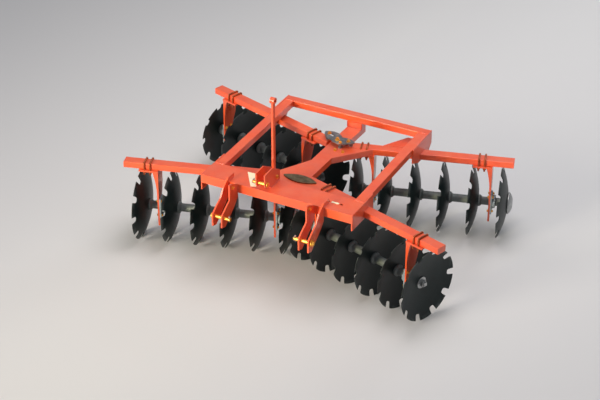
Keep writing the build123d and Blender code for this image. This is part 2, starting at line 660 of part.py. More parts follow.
def top_link_ears():
    """Two plates that reach forward from the deck, with a boss round the top link pin."""
    ears = []
    front = FRONT_Y - EAR_OVERHANG
    top = FRONT_TOP + EAR_RISE
    outline = [(DECK_REAR, FRONT_TOP), (DECK_REAR, FRONT_TOP + EAR_REAR_RISE),
               (front + EAR_TOP_LEN, FRONT_TOP + EAR_TOP_RISE), (front, top), (front, top - EAR_TIP_H),
               (EAR_PIN_Y - EAR_BOSS_R, EAR_PIN_Z), (EAR_PIN_Y, EAR_PIN_Z),
               (DECK_REAR - EAR_FOOT_LEN, FRONT_TOP)]
    for x in EAR_X:
        x0, x1 = x - EAR_T / 2, x + EAR_T / 2
        ear = upright(outline, x0, x1) + rod_x(x0, x1, EAR_PIN_Y, EAR_PIN_Z, EAR_BOSS_R)
        ear = ear - rod_x(x0 - 1, x1 + 1, EAR_PIN_Y, EAR_PIN_Z, EAR_PIN_R + PIN_SHOULDER + PIN_GAP)
        ear = ear - rod_x(x0 - 1, x1 + 1, MAST_PIVOT_Y, MAST_PIVOT_Z, MAST_BOLT_R + PIN_GAP)
        ears.append(ear)
    return ears


def mast():
    """The upright flat bar with a bored head, hinged on the bolt between the ears."""
    x0, x1 = MAST_X - MAST_T / 2, MAST_X + MAST_T / 2
    half = MAST_W / 2
    bar = box(x0, x1, MAST_PIVOT_Y - half, MAST_PIVOT_Y + half, MAST_PIVOT_Z, MAST_TOP_Z)
    low = rod_x(x0, x1, MAST_PIVOT_Y, MAST_PIVOT_Z, half)
    h0, h1 = MAST_X - MAST_HEAD_T / 2, MAST_X + MAST_HEAD_T / 2
    body = bar + low + rod_x(h0, h1, MAST_PIVOT_Y, MAST_TOP_Z, MAST_HEAD_R)
    body = body - rod_x(h0 - 1, h1 + 1, MAST_PIVOT_Y, MAST_TOP_Z, MAST_BORE_R)
    return body - rod_x(x0 - 1, x1 + 1, MAST_PIVOT_Y, MAST_PIVOT_Z, MAST_BOLT_R + PIN_GAP)


def mast_bolt():
    """The bolt through both ears, with its head on the right and its nut on the left."""
    x0, x1 = EAR_X[0] - EAR_T / 2, EAR_X[1] + EAR_T / 2
    bolt = rod_x(x0, x1, MAST_PIVOT_Y, MAST_PIVOT_Z, MAST_BOLT_R)
    bolt = bolt + rod_x(x1, x1 + MAST_BOLT_HEAD_T, MAST_PIVOT_Y, MAST_PIVOT_Z, MAST_BOLT_HEAD_R)
    return bolt + rod_x(x0 - MAST_BOLT_HEAD_T, x0, MAST_PIVOT_Y, MAST_PIVOT_Z, MAST_BOLT_HEAD_R)


def top_link_pin():
    """The pin through both ears, its longer free end to the left."""
    face = EAR_X[0] - EAR_T / 2
    far_end = EAR_X[1] + EAR_T / 2 + EAR_PIN_RIGHT
    return shouldered_pin(face - EAR_PIN_LEFT, face, far_end, EAR_PIN_Y, EAR_PIN_Z, EAR_PIN_R)


NODES = {}


def add(name, shapes):
    NODES[name] = solids_of(shapes if isinstance(shapes, list) else [shapes])


add("side_member_right", side_member(1))
add("side_member_left", side_member(-1))
add("rear_crossbar", rear_crossbar())
add("front_crossbar", front_crossbar())
add("front_top_plate", front_top_plate())
add("centre_beam", centre_beam())
add("side_plates_front", side_plates_front())
add("side_plates_rear", side_plates_rear())
add("rear_gusset", rear_gusset())
add("front_lens_plate", front_lens_plate())
add("rear_lens_plate", rear_lens_plates())
add("hitch_plates", hitch_plates())
add("hitch_pins", hitch_pins())
add("top_link_ears", top_link_ears())
add("top_link_pin", top_link_pin())
add("mast_bolt", mast_bolt())
add("mast", mast())

DISC = disc()
SPOOL = spool(DISC_PITCH - DISC_T)
BEAM_CLAMP = clamp(BEAM_TOP + CLAMP_ROD_R + FIT_GAP)
PLATE_CLAMP = clamp(BEAM_TOP + PLATE_T + CLAMP_BEND)
for name, x, y, turn, hollow_out, mirrored, beam_out, hanger_shift in GANGS:
    spot = (x, y, turn, mirrored)
    discs = []
    for i in range(DISC_COUNT):
        turn_on_axle = Rot(0, 0, 90 * (i % 2))
        standing = Pos(hub_x(i, hollow_out), 0, AXLE_Z) * Rot(0, 90 * hollow_out, 0) * turn_on_axle
        discs.append(place_turned(standing * DISC, *spot))
    spools = []
    for i in range(DISC_COUNT - 1):
        mid = (hub_faces(i, hollow_out)[0] + hub_faces(i + 1, hollow_out)[1]) / 2
        spools.append(place_turned(Pos(mid, 0, AXLE_Z) * Rot(0, 90, 0) * SPOOL, *spot))
    hangers = hanger_places(hollow_out, hanger_shift)
    bolts = []
    for i, u in enumerate(clamp_places(hollow_out, hanger_shift)):
        over_plate = hollow_out > 0 and i >= 2
        bolts.append(place_turned(Pos(u, 0, 0) * (PLATE_CLAMP if over_plate else BEAM_CLAMP), *spot))
    add("gang_beam_" + name, gang_beam(*spot, beam_out))
    add("discs_" + name, discs)
    add("spools_" + name, spools)
    add("axle_" + name, place_turned(axle(hollow_out), *spot))
    add("hangers_" + name, [place(hanger(u, hollow_out), *spot) for u in hangers])
    add("housings_" + name, [place(housing(u, -hollow_out), *spot) for u in hangers])
    add("clamps_" + name, bolts)

os.makedirs("parts", exist_ok=True)
for name, shape in NODES.items():
    export_step(shape, "parts/" + name + ".step")
print(len(NODES), "nodes")
whole = Compound(children=list(NODES.values())).bounding_box()
print("from", whole.min, "to", whole.max)
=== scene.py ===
import json
import math
import random
from collections import namedtuple

import bmesh
import bpy
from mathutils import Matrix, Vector


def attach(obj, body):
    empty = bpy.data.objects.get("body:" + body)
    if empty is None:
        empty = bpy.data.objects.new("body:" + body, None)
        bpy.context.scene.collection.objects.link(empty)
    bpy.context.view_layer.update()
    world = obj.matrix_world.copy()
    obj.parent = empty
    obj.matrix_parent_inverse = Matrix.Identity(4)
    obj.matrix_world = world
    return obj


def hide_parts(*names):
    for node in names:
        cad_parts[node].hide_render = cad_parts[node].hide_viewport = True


# Looks of a mounted tandem disc harrow. Metres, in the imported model's frame:
# origin on the floor under the middle, the hitch towards -Y, +X to the right, +Z up.
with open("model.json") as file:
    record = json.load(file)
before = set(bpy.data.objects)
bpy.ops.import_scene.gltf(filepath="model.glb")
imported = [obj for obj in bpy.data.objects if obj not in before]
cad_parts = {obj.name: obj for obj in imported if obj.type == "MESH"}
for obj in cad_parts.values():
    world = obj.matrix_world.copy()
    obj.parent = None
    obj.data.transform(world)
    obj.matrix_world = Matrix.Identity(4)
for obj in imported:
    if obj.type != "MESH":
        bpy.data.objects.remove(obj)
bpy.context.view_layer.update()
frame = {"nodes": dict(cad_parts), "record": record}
random.seed(31)

# Camera at the photograph's angle
CAMERA_PLACE = Vector((5.195, -9.986, 7.026))
CAMERA_AZIMUTH = math.radians(28.26)
CAMERA_ELEVATION = math.radians(30.83)
CAMERA_LENS_MM = 101.4

# Studio: half the floor's width in metres, the lamps' openings in degrees, what they aim at
FLOOR_HALF = 60.0
KEY_SPREAD = 60
LOW_BEAM_CONE = 16
MACHINE_MIDDLE = (0.0, 0.0, 0.5)
FRAME_MIDDLE = (0.0, 0.0, 0.95)
WORLD_COLOUR = (0.93, 0.95, 1.0, 1)
WORLD_STRENGTH = 0.31

# Sizes of the machine, as in the part
FRAME_HALF = 0.624
FRONT_Y = -0.7083
REAR_Y = 0.6627
MEMBER_W = 0.075
MEMBER_H = 0.056
DECK_REAR = FRONT_Y + 0.206
REAR_BAR_Y = REAR_Y - MEMBER_W
BEAM_LOW = 0.611
BEAM_TOP = 0.661
BEAM_W = 0.084
FRONT_TOP = 0.729
REAR_TOP = 0.769
SIDE_T = 0.010
LIP_H = 0.072
AXLE_Z = 0.280
DISC_PITCH = 0.229
DISC_DISH = 0.062
DISC_R = 0.280
DISC_T = 0.006
DISC_COUNT = 6
DISC_FLAT_R = 0.050
DISC_BORE_HALF = 0.0143
DISC_EDGE_T = 0.002
DISC_RING_RADII = (0.090, 0.132, 0.172, 0.205, 0.224)
NOTCHES = 10
NOTCH_HALF = 0.023
NOTCH_MOUTH_HALF = 0.027
NOTCH_FLOOR = 0.234
NOTCH_ROUND = 0.015
GANG_ANGLE = math.radians(17)
FRONT_GANG = (1.217, FRONT_Y + 0.055)
REAR_GANG = (1.222, REAR_Y + 0.012)
LEG_T = 0.014
LEG_FRONT = 0.058
FOOT_LOW = 0.599
LEG_TOP_REAR = 0.067
RIB_T = 0.012
RIB_W = 0.030
CLAMP_Y = 0.0493
CLAMP_PITCH = 0.046
CLAMP_SHIFT = 0.078
CLAMP_ROD_R = 0.007
CLAMP_TAIL_LOW = 0.569
FLANGE_T = 0.012
BEARING_LEN = 0.034
BEARING_R = 0.052
TRUNK_HALF = 0.062
FRONT_FLARE_W = 0.153
REAR_FLARE_W = 0.221
REAR_LENS_TOP = 0.705
HITCH_PLATE_X = (0.321, 0.398)
HITCH_T = 0.012
HITCH_PIN_Y = -0.9063
HITCH_PIN_Z = 0.538
HITCH_DECK_RUN = 0.080
EAR_X = (-0.149, -0.076)
EAR_T = 0.010
EAR_FOOT_LEN = 0.140
EAR_PIN_Y = -0.6983
EAR_PIN_Z = 0.785
SLOT_Y = -0.6073
SLOT_ENDS = (0.403, 0.486)

# Sizes of what is added here: welds, fasteners, and the pale patches on the deck, one of them a painted
# glare
WELD_R = 0.004
BEAM_WELD_R = 0.0035
RIB_WELD_R = 0.0030
WELD_RIPPLE = 0.0045
SCREW_PITCH = 0.0022
HOUSING_BOLT_R = 0.0095
HITCH_HEAD_R = 0.022
HITCH_HEAD_H = 0.016
HITCH_BOLT_R = 0.0105
HITCH_BOLT_PLACE = (-0.784, 0.735)
HITCH_LINCH_X = 0.276
EAR_LINCH_OUT = 0.026
LINCH_PIN_R = 0.0035
LINCH_HEAD_R = 0.0065
LINCH_RING_WIRE_R = 0.0017
THREAD_ROWS = 6
GLARE_PATCH_T = 0.001
GLARE_PATCH_GAP = 0.0002

# Bolts of a bearing housing: across the gang and above the axle
HOUSING_BOLTS = ((-0.043, -0.062), (-0.043, 0.062), (0.010, 0.068))

# Corners of the painted glare left of the ears, a cream patch standing in for a highlight on the deck: x and
# y
EAR_GLARE = [(-0.214, -0.694), (-0.175, -0.676), (-0.276, -0.512), (-0.340, -0.516)]
# Inset from the slot ends and half depth of the pale strip between the two slots
SLOT_PALE_STRIP_IN = 0.012
SLOT_PALE_STRIP_HALF = 0.009

# Bolts on the rear joint plates and on the flare in front of them
JointBolt = namedtuple("JointBolt", "x y z radius")
JOINT_BOLTS = (
    JointBolt(0.004, 0.284, REAR_LENS_TOP, 0.0150),
    JointBolt(0.092, 0.299, REAR_LENS_TOP, 0.0125),
    JointBolt(0.046, 0.252, REAR_LENS_TOP, 0.0110),
    JointBolt(-0.106, 0.365, REAR_LENS_TOP - 0.010, 0.0125),
    JointBolt(0.096, 0.196, BEAM_TOP, 0.0110),
    JointBolt(0.030, 0.196, BEAM_TOP, 0.0110),
)

# Gangs by name: place of the outer disc's rim centre on the right side, turn about Z,
# hollow_out 1 where the discs' hollow side faces outward, side -1 for a gang on the left,
# and how far the hangers stand outward of the middle between two discs
Gang = namedtuple("Gang", "x y turn hollow_out side hanger_shift")
GANGS = {
    "front_right": Gang(*FRONT_GANG, -GANG_ANGLE, 1, 1, 0.015),
    "front_left": Gang(*FRONT_GANG, -GANG_ANGLE, 1, -1, 0.025),
    "rear_right": Gang(*REAR_GANG, GANG_ANGLE, -1, 1, -0.020),
    "rear_left": Gang(*REAR_GANG, GANG_ANGLE, -1, -1, 0.028),
}


def linear(red, green, blue):
    """A colour given as 0 to 255 steps on a screen, in linear light."""
    return tuple(
        (c / 255 / 12.92) if c / 255 <= 0.04045 else ((c / 255 + 0.055) / 1.055) ** 2.4
        for c in (red, green, blue)
    ) + (1.0,)


# Shader groups that several finishes share
def new_group(name, inputs, outputs):
    """An empty shader group with named sockets; inputs are (name, type, value)."""
    group = bpy.data.node_groups.new(name, "ShaderNodeTree")
    for label, kind, value in inputs:
        socket = group.interface.new_socket(name=label, in_out="INPUT", socket_type=kind)
        socket.default_value = value
    for label, kind in outputs:
        group.interface.new_socket(name=label, in_out="OUTPUT", socket_type=kind)
    entry = group.nodes.new("NodeGroupInput")
    exit_node = group.nodes.new("NodeGroupOutput")
    return group, entry.outputs, exit_node.inputs


def node(tree, kind, settings=None, **values):
    """A node with its settings, and its input values or links by socket name."""
    made = tree.nodes.new(kind)
    for label, value in (settings or {}).items():
        setattr(made, label, value)
    for label, value in values.items():
        socket = made.inputs[int(label[1:])] if label[1:].isdigit() else made.inputs[label.replace("_", " ")]
        if isinstance(value, bpy.types.NodeSocket):
            tree.links.new(value, socket)
        else:
            socket.default_value = value
    return made


def noise(tree, place, scale, detail=4.0, roughness=0.55):
    """A noise value over the surface; scale is in spots per metre."""
    made = node(tree, "ShaderNodeTexNoise", Vector=place, Scale=scale, Detail=detail, Roughness=roughness)
    return made.outputs[0]


def ramp(tree, value, low, high, to_low=0.0, to_high=1.0):
    """value between low and high as a number between to_low and to_high."""
    made = node(tree, "ShaderNodeMapRange", {"clamp": True})
    tree.links.new(value, made.inputs[0])
    for index, number in enumerate((low, high, to_low, to_high)):
        made.inputs[index + 1].default_value = number
    return made.outputs[0]


def blended(tree, factor, first, second):
    """A colour between two colours."""
    made = node(tree, "ShaderNodeMix", {"data_type": "RGBA"})
    for index, value in ((0, factor), (6, first), (7, second)):
        if isinstance(value, bpy.types.NodeSocket):
            tree.links.new(value, made.inputs[index])
        else:
            made.inputs[index].default_value = value
    return made.outputs[2]


def maths(tree, how, *values):
    """A number worked out from numbers or links."""
    made = tree.nodes.new("ShaderNodeMath")
    made.operation = how
    for index, value in enumerate(values):
        if isinstance(value, bpy.types.NodeSocket):
            tree.links.new(value, made.inputs[index])
        else:
            made.inputs[index].default_value = value
    return made.outputs[0]


def edge_mask_group():
    """How near a point is to an outer edge, broken up as worn edges are."""
    group, given, result = new_group(
        "worn_edges",
        [("Width", "NodeSocketFloat", 0.003), ("Breakup", "NodeSocketFloat", 120.0)],
        [("Mask", "NodeSocketFloat")],
    )
    rounded = node(group, "ShaderNodeBevel", {"samples": 4})
    group.links.new(given["Width"], rounded.inputs["Radius"])
    surface = node(group, "ShaderNodeNewGeometry")
    facing = node(group, "ShaderNodeVectorMath", {"operation": "DOT_PRODUCT"})
    group.links.new(rounded.outputs[0], facing.inputs[0])
    group.links.new(surface.outputs["Normal"], facing.inputs[1])
    place = node(group, "ShaderNodeTexCoord").outputs["Object"]
    broken = node(group, "ShaderNodeTexNoise", Vector=place, Detail=3.0)
    group.links.new(given["Breakup"], broken.inputs["Scale"])
    edge = ramp(group, facing.outputs["Value"], 0.995, 0.80)
    patchy = ramp(group, broken.outputs[0], 0.45, 0.62)
    group.links.new(maths(group, "MULTIPLY", edge, patchy), result["Mask"])
    return group


def dust_group():
    """Dust that lies on what faces up, thicker in patches."""
    group, given, result = new_group(
        "settled_dust",
        [("Amount", "NodeSocketFloat", 0.4), ("Patches", "NodeSocketFloat", 9.0)],
        [("Mask", "NodeSocketFloat")],
    )
    surface = node(group, "ShaderNodeNewGeometry")
    parts = node(group, "ShaderNodeSeparateXYZ")
    group.links.new(surface.outputs["Normal"], parts.inputs[0])
    up = ramp(group, parts.outputs["Z"], 0.1, 0.95)
    place = node(group, "ShaderNodeTexCoord").outputs["Object"]
    patches = node(group, "ShaderNodeTexNoise", Vector=place, Detail=6.0, Roughness=0.65)
    group.links.new(given["Patches"], patches.inputs["Scale"])
    thick = ramp(group, patches.outputs[0], 0.35, 0.75)
    amount = maths(group, "MULTIPLY", maths(group, "MULTIPLY", up, thick), given["Amount"])
    group.links.new(amount, result["Mask"])
    return group


def mottle_group():
    """Soft large clouds and fine grain in one value around 0.5, and the grain as a height."""
    group, given, result = new_group(
        "mottled_surface",
        [("Clouds", "NodeSocketFloat", 6.0), ("Grain", "NodeSocketFloat", 400.0)],
        [("Clouds", "NodeSocketFloat"), ("Grain", "NodeSocketFloat")],
    )
    place = node(group, "ShaderNodeTexCoord").outputs["Object"]
    clouds = node(group, "ShaderNodeTexNoise", Vector=place, Detail=5.0, Roughness=0.6)
    group.links.new(given["Clouds"], clouds.inputs["Scale"])
    grain = node(group, "ShaderNodeTexNoise", Vector=place, Detail=3.0, Roughness=0.5)
    group.links.new(given["Grain"], grain.inputs["Scale"])
    group.links.new(clouds.outputs[0], result["Clouds"])
    group.links.new(grain.outputs[0], result["Grain"])
    return group


def turned_rings_group():
    """Fine rings about a gang's axis, and how near a point is to the disc's rim."""
    group, given, result = new_group(
        "turned_rings",
        [("Centre", "NodeSocketVector", (0.0, 0.0, 0.0)), ("Axis", "NodeSocketVector", (1.0, 0.0, 0.0)),
         ("Rim", "NodeSocketFloat", DISC_R)],
        [("Rings", "NodeSocketFloat"), ("Rim", "NodeSocketFloat")],
    )
    place = node(group, "ShaderNodeTexCoord").outputs["Object"]
    arm = node(group, "ShaderNodeVectorMath", {"operation": "SUBTRACT"})
    group.links.new(place, arm.inputs[0])
    group.links.new(given["Centre"], arm.inputs[1])
    across = node(group, "ShaderNodeVectorMath", {"operation": "CROSS_PRODUCT"})
    group.links.new(arm.outputs[0], across.inputs[0])
    group.links.new(given["Axis"], across.inputs[1])
    radius = node(group, "ShaderNodeVectorMath", {"operation": "LENGTH"})
    group.links.new(across.outputs[0], radius.inputs[0])
    distance = radius.outputs["Value"]
    spun = node(group, "ShaderNodeCombineXYZ")
    group.links.new(distance, spun.inputs[0])
    rings = node(group, "ShaderNodeTexNoise", Vector=spun.outputs[0], Scale=260.0, Detail=3.0)
    group.links.new(rings.outputs[0], result["Rings"])
    near_rim = maths(group, "SUBTRACT", given["Rim"], distance)
    group.links.new(ramp(group, near_rim, 0.030, 0.004), result["Rim"])
    return group


WORN_EDGES = edge_mask_group()
SETTLED_DUST = dust_group()
MOTTLED = mottle_group()
TURNED_RINGS = turned_rings_group()

DUST_COLOUR = linear(196, 176, 156)
BARE_METAL = linear(150, 146, 140)


def use(tree, group, **values):
    """A shared group placed in a material with its own values."""
    made = tree.nodes.new("ShaderNodeGroup")
    made.node_tree = group
    for label, value in values.items():
        made.inputs[label].default_value = value
    return made.outputs


def new_material(name):
    """A material, its node tree and its shader."""
    material = bpy.data.materials.new(name)
    material.use_nodes = True
    tree = material.node_tree
    shader = tree.nodes["Principled BSDF"]
    return material, tree, shader


def lift(tree, shader, height, strength, distance, corner=0.0015):
    """Bump from a height, on corners that are rounded a little."""
    rounded = node(tree, "ShaderNodeBevel", {"samples": 4}, Radius=corner)
    bump = node(tree, "ShaderNodeBump", Strength=strength, Distance=distance, Normal=rounded.outputs[0])
    tree.links.new(height, bump.inputs["Height"])
    tree.links.new(bump.outputs[0], shader.inputs["Normal"])


def painted(name, colour, shade, gloss, dust, wear, coat=0.35):
    """Sprayed enamel: clouds of a second shade, orange peel, dust and edges worn to the metal."""
    material, tree, shader = new_material(name)
    surface = use(tree, MOTTLED, Clouds=5.0, Grain=330.0)
    base = blended(tree, ramp(tree, surface["Clouds"], 0.30, 0.72), colour, shade)
    dusty = use(tree, SETTLED_DUST, Amount=dust, Patches=8.0)["Mask"]
    base = blended(tree, dusty, base, DUST_COLOUR)
    worn = use(tree, WORN_EDGES, Width=0.0025, Breakup=70.0)["Mask"]
    worn = maths(tree, "MULTIPLY", worn, wear)
    base = blended(tree, worn, base, BARE_METAL)
    tree.links.new(base, shader.inputs["Base Color"])
    rough = ramp(tree, surface["Clouds"], 0.3, 0.8, gloss - 0.05, gloss + 0.10)
    rough = maths(tree, "ADD", rough, maths(tree, "MULTIPLY", dusty, 0.5))
    tree.links.new(rough, shader.inputs["Roughness"])
    tree.links.new(maths(tree, "MULTIPLY", worn, 0.8), shader.inputs["Metallic"])
    shader.inputs["Coat Weight"].default_value = coat
    shader.inputs["Coat Roughness"].default_value = 0.12
    lift(tree, shader, surface["Grain"], 0.12, 0.001)
    return material


def disc_paint(name, centre, axis):
    """Dark disc enamel with turning marks, paler towards the worn rim."""
    material, tree, shader = new_material(name)
    surface = use(tree, MOTTLED, Clouds=9.0, Grain=500.0)
    rings = use(tree, TURNED_RINGS, Centre=centre, Axis=axis, Rim=DISC_R)
    base = blended(tree, ramp(tree, surface["Clouds"], 0.3, 0.7), DISC_DARK, DISC_PALE)
    base = blended(tree, ramp(tree, rings["Rings"], 0.35, 0.75, 0.0, 0.35), base, DISC_RING)
    scuffed = maths(tree, "MULTIPLY", rings["Rim"], ramp(tree, surface["Clouds"], 0.42, 0.62))
    base = blended(tree, maths(tree, "MULTIPLY", scuffed, 0.5), base, DISC_BARE)
    worn = use(tree, WORN_EDGES, Width=0.0025, Breakup=55.0)["Mask"]
    base = blended(tree, worn, base, DISC_BARE)
    tree.links.new(base, shader.inputs["Base Color"])
    rough = ramp(tree, rings["Rings"], 0.3, 0.7, 0.34, 0.46)
    tree.links.new(rough, shader.inputs["Roughness"])
    tree.links.new(maths(tree, "MULTIPLY", worn, 0.8), shader.inputs["Metallic"])
    shader.inputs["Specular IOR Level"].default_value = 0.28
    lift(tree, shader, rings["Rings"], 0.18, 0.0006, corner=0.001)
    return material


def cast(name, colour, shade, roughness, metallic=0.55):
    """Rough cast iron with a sandy skin and rubbed edges."""
    material, tree, shader = new_material(name)
    surface = use(tree, MOTTLED, Clouds=14.0, Grain=620.0)
    base = blended(tree, ramp(tree, surface["Clouds"], 0.3, 0.7), colour, shade)
    worn = use(tree, WORN_EDGES, Width=0.003, Breakup=90.0)["Mask"]
    base = blended(tree, worn, base, BARE_METAL)
    tree.links.new(base, shader.inputs["Base Color"])
    rough = ramp(tree, surface["Grain"], 0.3, 0.7, roughness - 0.08, roughness + 0.08)
    tree.links.new(rough, shader.inputs["Roughness"])
    shader.inputs["Metallic"].default_value = metallic
    lift(tree, shader, surface["Grain"], 0.45, 0.0012)
    return material


def plated(name, colour, shade, roughness, rust=0.0):
    """Bright plated or bare metal: streaked colour, fine scratches and a little rust."""
    material, tree, shader = new_material(name)
    surface = use(tree, MOTTLED, Clouds=22.0, Grain=800.0)
    base = blended(tree, ramp(tree, surface["Clouds"], 0.35, 0.68), colour, shade)
    place = node(tree, "ShaderNodeTexCoord").outputs["Object"]
    spots = ramp(tree, noise(tree, place, 35.0, 6.0, 0.7), 0.58, 0.72, 0.0, rust)
    base = blended(tree, spots, base, RUST)
    tree.links.new(base, shader.inputs["Base Color"])
    rough = ramp(tree, surface["Grain"], 0.3, 0.7, roughness - 0.07, roughness + 0.10)
    rough = maths(tree, "ADD", rough, maths(tree, "MULTIPLY", spots, 0.3))
    tree.links.new(rough, shader.inputs["Roughness"])
    metallic = maths(tree, "SUBTRACT", 0.92, maths(tree, "MULTIPLY", spots, 0.6))
    tree.links.new(metallic, shader.inputs["Metallic"])
    lift(tree, shader, surface["Grain"], 0.15, 0.0006)
    return material


# Finishes
RUST = linear(112, 66, 38)
DISC_DARK = linear(12, 22, 23)
DISC_PALE = linear(20, 33, 33)
DISC_RING = linear(31, 45, 45)
DISC_BARE = linear(105, 112, 110)
ORANGE = painted("orange_enamel", linear(236, 94, 50), linear(222, 78, 46), 0.32, 0.12, 0.45, coat=0.6)
ORANGE_WELD = painted("orange_enamel_on_weld", linear(226, 82, 50), linear(205, 64, 44), 0.42, 0.05, 0.15)
SPOOL_IRON = cast("spool_iron", linear(124, 130, 130), linear(94, 100, 100), 0.46, 0.25)
HOUSING_IRON = cast("housing_iron", linear(172, 186, 200), linear(136, 150, 166), 0.42, 0.2)
FRONT_LENS_STEEL = plated("front_joint_plate_steel", linear(134, 118, 92), linear(88, 76, 58), 0.46, 0.5)
REAR_LENS_STEEL = plated("rear_joint_plate_steel", linear(156, 161, 164), linear(108, 113, 119), 0.38, 0.25)
AXLE_STEEL = plated("axle_steel", linear(184, 186, 186), linear(146, 148, 148), 0.38, rust=0.18)
CLAMP_STEEL = plated("clamp_steel", linear(200, 106, 68), linear(138, 72, 48), 0.44, rust=0.2)
YELLOW_ZINC = plated("yellow_zinc", linear(252, 198, 92), linear(240, 152, 68), 0.30)
WHITE_ZINC = plated("white_zinc", linear(214, 214, 210), linear(176, 178, 180), 0.32)
# Cream enamel for the painted glare on the deck left of the ears, a highlight painted as a patch, and for
# the pale strip between the slots
GLARE_AND_PALE_STRIP = painted("painted_glare_and_pale_strip_enamel", linear(250, 244, 214), linear(246, 232, 190), 0.30, 0.0, 0.0, coat=0.6)


# Mesh helpers: every piece is lofted from rings of points
def ring(centre, axis, radius, count, phase=0.0):
    """Points of a circle or polygon about an axis."""
    axis = Vector(axis).normalized()
    side = axis.orthogonal().normalized()
    other = axis.cross(side)
    return [
        Vector(centre) + radius * (math.cos(a) * side + math.sin(a) * other)
        for a in (phase + 2 * math.pi * i / count for i in range(count))
    ]


def loft(mesh, rings):
    """Joins rings of the same count with quads and closes both ends."""
    rows = [[mesh.verts.new(p) for p in points] for points in rings]
    count = len(rows[0])
    for lower, upper in zip(rows, rows[1:]):
        for i in range(count):
            j = (i + 1) % count
            mesh.faces.new((lower[i], lower[j], upper[j], upper[i]))
    mesh.faces.new(reversed(rows[0]))
    mesh.faces.new(rows[-1])


def turned(mesh, start, way, profile, count=20, phase=0.0):
    """A turned piece: profile is (distance along way, radius) from start."""
    way = Vector(way).normalized()
    loft(mesh, [ring(Vector(start) + way * d, way, max(r, 0.0002), count, phase) for d, r in profile])


def tube(mesh, points, radius, count=10):
    """A bent bar through points."""
    points = [Vector(p) for p in points]
    rings = []
    side = None
    for i, point in enumerate(points):
        ahead = points[min(i + 1, len(points) - 1)]
        behind = points[max(i - 1, 0)]
        axis = (ahead - behind).normalized()
        side = axis.orthogonal() if side is None else side - axis * side.dot(axis)
        side.normalize()
        other = axis.cross(side)
        rings.append([
            point + radius * (math.cos(a) * side + math.sin(a) * other)
            for a in (2 * math.pi * k / count for k in range(count))
        ])
    loft(mesh, rings)


def hex_head(mesh, start, way, radius, height):
    """A bolt head or nut on its washer, with chamfered corners."""
    turned(mesh, start, way, [(0, radius * 1.28), (height * 0.18, radius * 1.28)], 24)
    turned(mesh, Vector(start) + Vector(way).normalized() * height * 0.18, way,
           [(0, radius), (height * 0.72, radius), (height * 0.82, radius * 0.9)], 6)


def bolt_through(mesh, start, end, radius, height=None):
    """A bolt from one outer face to the other: head at start, nut and thread end at end."""
    start, end = Vector(start), Vector(end)
    way = (end - start).normalized()
    height = height or radius * 1.1
    hex_head(mesh, start, -way, radius, height)
    hex_head(mesh, end, way, radius, height)
    threaded_end(mesh, end + way * height * 0.8, way, radius * 0.55, radius * 0.6)


def threaded_end(mesh, start, way, radius, length):
    """The end of a screw: small ridges and a chamfer."""
    profile = []
    steps = max(2, int(length / SCREW_PITCH))
    for i in range(steps):
        start_of_turn = i * SCREW_PITCH
        profile += [(start_of_turn, radius), (start_of_turn + SCREW_PITCH * 0.5, radius * 0.86)]
    end = steps * SCREW_PITCH
    profile += [(end, radius * 0.9), (end + 0.001, radius * 0.7)]
    turned(mesh, start, way, profile, 12)


def weld(mesh, start, end, radius=WELD_R):
    """A weld bead along a corner, with its ripples."""
    start, end = Vector(start), Vector(end)
    way = end - start
    steps = max(4, int(way.length / WELD_RIPPLE))
    rings = []
    for i in range(steps + 1):
        taper = min(1.0, 0.45 + 0.55 * min(i, steps - i) / 2)
        swell = 1.0 + (0.16 if i % 2 else -0.06) + random.uniform(-0.07, 0.07)
        rings.append(ring(start + way * i / steps, way, radius * taper * swell, 8))
    loft(mesh, rings)


def finished(name, mesh, material, body, sharp=35):
    """Makes the object of a built mesh, smooth up to an angle in degrees, riding on its body."""
    bmesh.ops.recalc_face_normals(mesh, faces=mesh.faces)
    for face in mesh.faces:
        face.smooth = True
    for edge in mesh.edges:
        edge.smooth = len(edge.link_faces) == 2 and edge.calc_face_angle(0) < math.radians(sharp)
    data = bpy.data.meshes.new(name)
    mesh.to_mesh(data)
    mesh.free()
    piece = bpy.data.objects.new(name, data)
    bpy.context.scene.collection.objects.link(piece)
    data.materials.append(material)
    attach(piece, body)
    return piece


def on_gang(gang, u, v, w):
    """A point given along, across and above a gang, in the machine's frame."""
    place = GANGS[gang]
    c, s = math.cos(place.turn), math.sin(place.turn)
    return Vector((place.side * (place.x + u * c - v * s), place.y + u * s + v * c, w))


def hub_place(i, hollow_out):
    """Where disc i's hub stands along its gang, counted from the outer end."""
    return -DISC_PITCH * i - DISC_DISH * hollow_out


def hanger_places(gang):
    """Where a gang's two hangers stand along its axis."""
    hubs = [hub_place(i, GANGS[gang].hollow_out) for i in range(DISC_COUNT)]
    shift = GANGS[gang].hanger_shift
    return [(hubs[0] + hubs[1]) / 2 + shift, (hubs[-2] + hubs[-1]) / 2 + shift]


def beam_line(front, x):
    """The y of a gang beam's middle line at a distance x from the middle plane."""
    if front:
        return FRONT_GANG[1] + (FRONT_GANG[0] - x) * math.tan(GANG_ANGLE)
    return REAR_GANG[1] - (REAR_GANG[0] - x) * math.tan(GANG_ANGLE)


# Camera, floor, light
def make_camera():
    """The camera at the photograph's place and angle."""
    data = bpy.data.cameras.new("photo_camera")
    data.lens = CAMERA_LENS_MM
    data.sensor_width = 36.0
    data.clip_end = 100.0
    camera = bpy.data.objects.new("photo_camera", data)
    bpy.context.scene.collection.objects.link(camera)
    a, e = CAMERA_AZIMUTH, CAMERA_ELEVATION
    back = Vector((math.sin(a) * math.cos(e), -math.cos(a) * math.cos(e), math.sin(e)))
    camera.location = CAMERA_PLACE
    camera.rotation_mode = "QUATERNION"
    camera.rotation_quaternion = (-back).to_track_quat("-Z", "Y")
    bpy.context.scene.camera = camera


